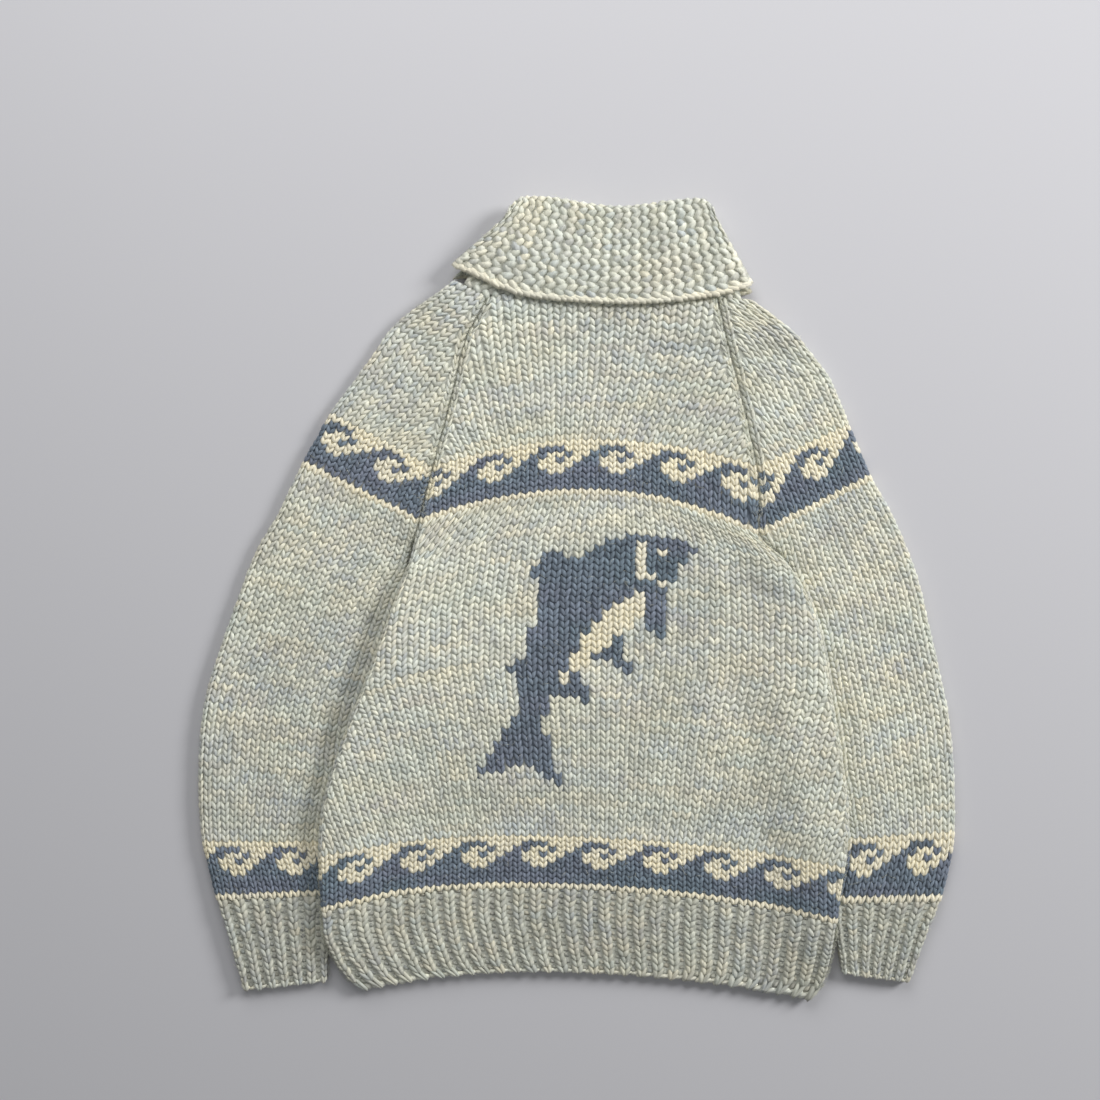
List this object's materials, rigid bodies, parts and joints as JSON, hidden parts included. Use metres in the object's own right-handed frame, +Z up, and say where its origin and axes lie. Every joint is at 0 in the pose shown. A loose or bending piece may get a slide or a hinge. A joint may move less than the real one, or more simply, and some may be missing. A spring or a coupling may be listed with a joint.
{
  "type": "cowichan sweater",
  "caption": "Bulky hand-knitted raglan sweater with a folded collar and ribbed hem and cuffs, laid flat face down with its back up.",
  "frame": {"origin": "middle of the sweater's box in plan, on the surface that it lies on", "axes": "+Z up from the surface, +Y from the hem towards the collar, +X towards the wearer's right sleeve"},
  "size_m": [0.721, 0.762, 0.0229],
  "materials": {
    "heather_wool": "heathered pale grey and cream handspun wool, knitted in stocking stitch",
    "rib_wool": "the same heathered wool, knitted in single rib",
    "collar_wool": "the same heathered wool, knitted in garter ridges"
  },
  "bodies": {
    "root": {"back_panel": "heather_wool", "front_panel": "heather_wool", "hem_rib_back": "rib_wool", "hem_rib_front": "rib_wool", "sleeve_left": "heather_wool", "sleeve_right": "heather_wool", "cuff_left": "rib_wool", "cuff_right": "rib_wool", "collar_back": "collar_wool", "collar_front": "collar_wool"}
  },
  "joints": []
}
